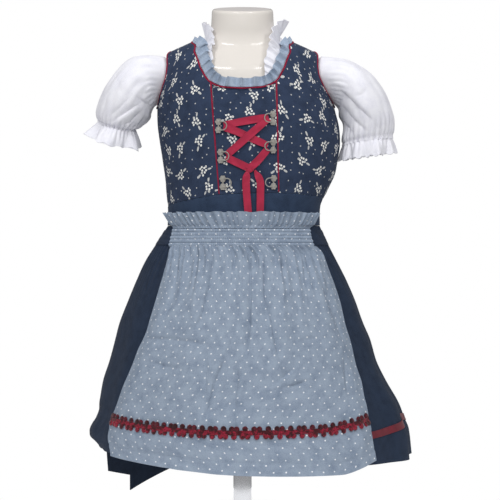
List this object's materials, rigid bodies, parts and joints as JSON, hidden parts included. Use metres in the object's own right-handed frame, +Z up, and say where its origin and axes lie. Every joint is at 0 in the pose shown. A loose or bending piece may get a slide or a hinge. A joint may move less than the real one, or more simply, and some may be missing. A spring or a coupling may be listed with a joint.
{
  "type": "dirndl on a dress form",
  "caption": "Child's dirndl dress with laced bodice, puff-sleeved blouse and gathered apron, on a limbless dress form with a pole and disc base.",
  "frame": {"origin": "centre of the underside of the disc base", "axes": "+Z up, -Y to the front of the dress, +X to the right as the front is seen"},
  "size_m": [0.3981, 0.3141, 0.6295],
  "materials": {
    "form_plastic": "smooth gloss",
    "stand_metal": "polished",
    "hook_metal": "polished",
    "navy_cloth": "matt cotton",
    "floral_cloth": "matt cotton with a flower print",
    "white_cloth": "matt cotton",
    "blue_cloth": "matt cotton with small dots",
    "crimson_cloth": "matt cotton",
    "crimson_satin": "satin"
  },
  "bodies": {
    "root": {"form_torso": "form_plastic", "stand_pole": "stand_metal", "stand_base": "stand_metal", "blouse_front": "white_cloth", "blouse_back": "white_cloth", "sleeve_left": "white_cloth", "sleeve_right": "white_cloth", "cuff_ruffle_left": "white_cloth", "cuff_ruffle_right": "white_cloth", "neck_ruffle": "white_cloth", "neck_frill": "blue_cloth", "bodice_front_left": "floral_cloth", "bodice_front_right": "floral_cloth", "bodice_front_centre": "floral_cloth", "bodice_back_left": "floral_cloth", "bodice_back_right": "floral_cloth", "waistband": "navy_cloth", "piping_neck": "crimson_cloth", "piping_armhole_left": "crimson_cloth", "piping_armhole_right": "crimson_cloth", "piping_front_left": "crimson_cloth", "piping_front_right": "crimson_cloth", "skirt_front": "navy_cloth", "skirt_back": "navy_cloth", "skirt_ribbon": "crimson_satin", "apron_skirt": "blue_cloth", "apron_braid": "crimson_cloth", "apron_band": "blue_cloth", "apron_heading": "blue_cloth", "tie_belt_left": "navy_cloth", "tie_belt_right": "navy_cloth", "tie_knot": "navy_cloth", "tie_end_front": "navy_cloth", "tie_end_back": "navy_cloth", "lacing_1": "crimson_satin", "lacing_2": "crimson_satin", "lacing_3": "crimson_satin", "lacing_4": "crimson_satin", "lacing_5": "crimson_satin", "lacing_tail_left": "crimson_satin", "lacing_tail_right": "crimson_satin", "lacing_knot": "crimson_satin", "hook_left_top": "hook_metal", "hook_left_middle": "hook_metal", "hook_left_bottom": "hook_metal", "hook_right_top": "hook_metal", "hook_right_middle": "hook_metal", "hook_right_bottom": "hook_metal"}
  },
  "joints": []
}
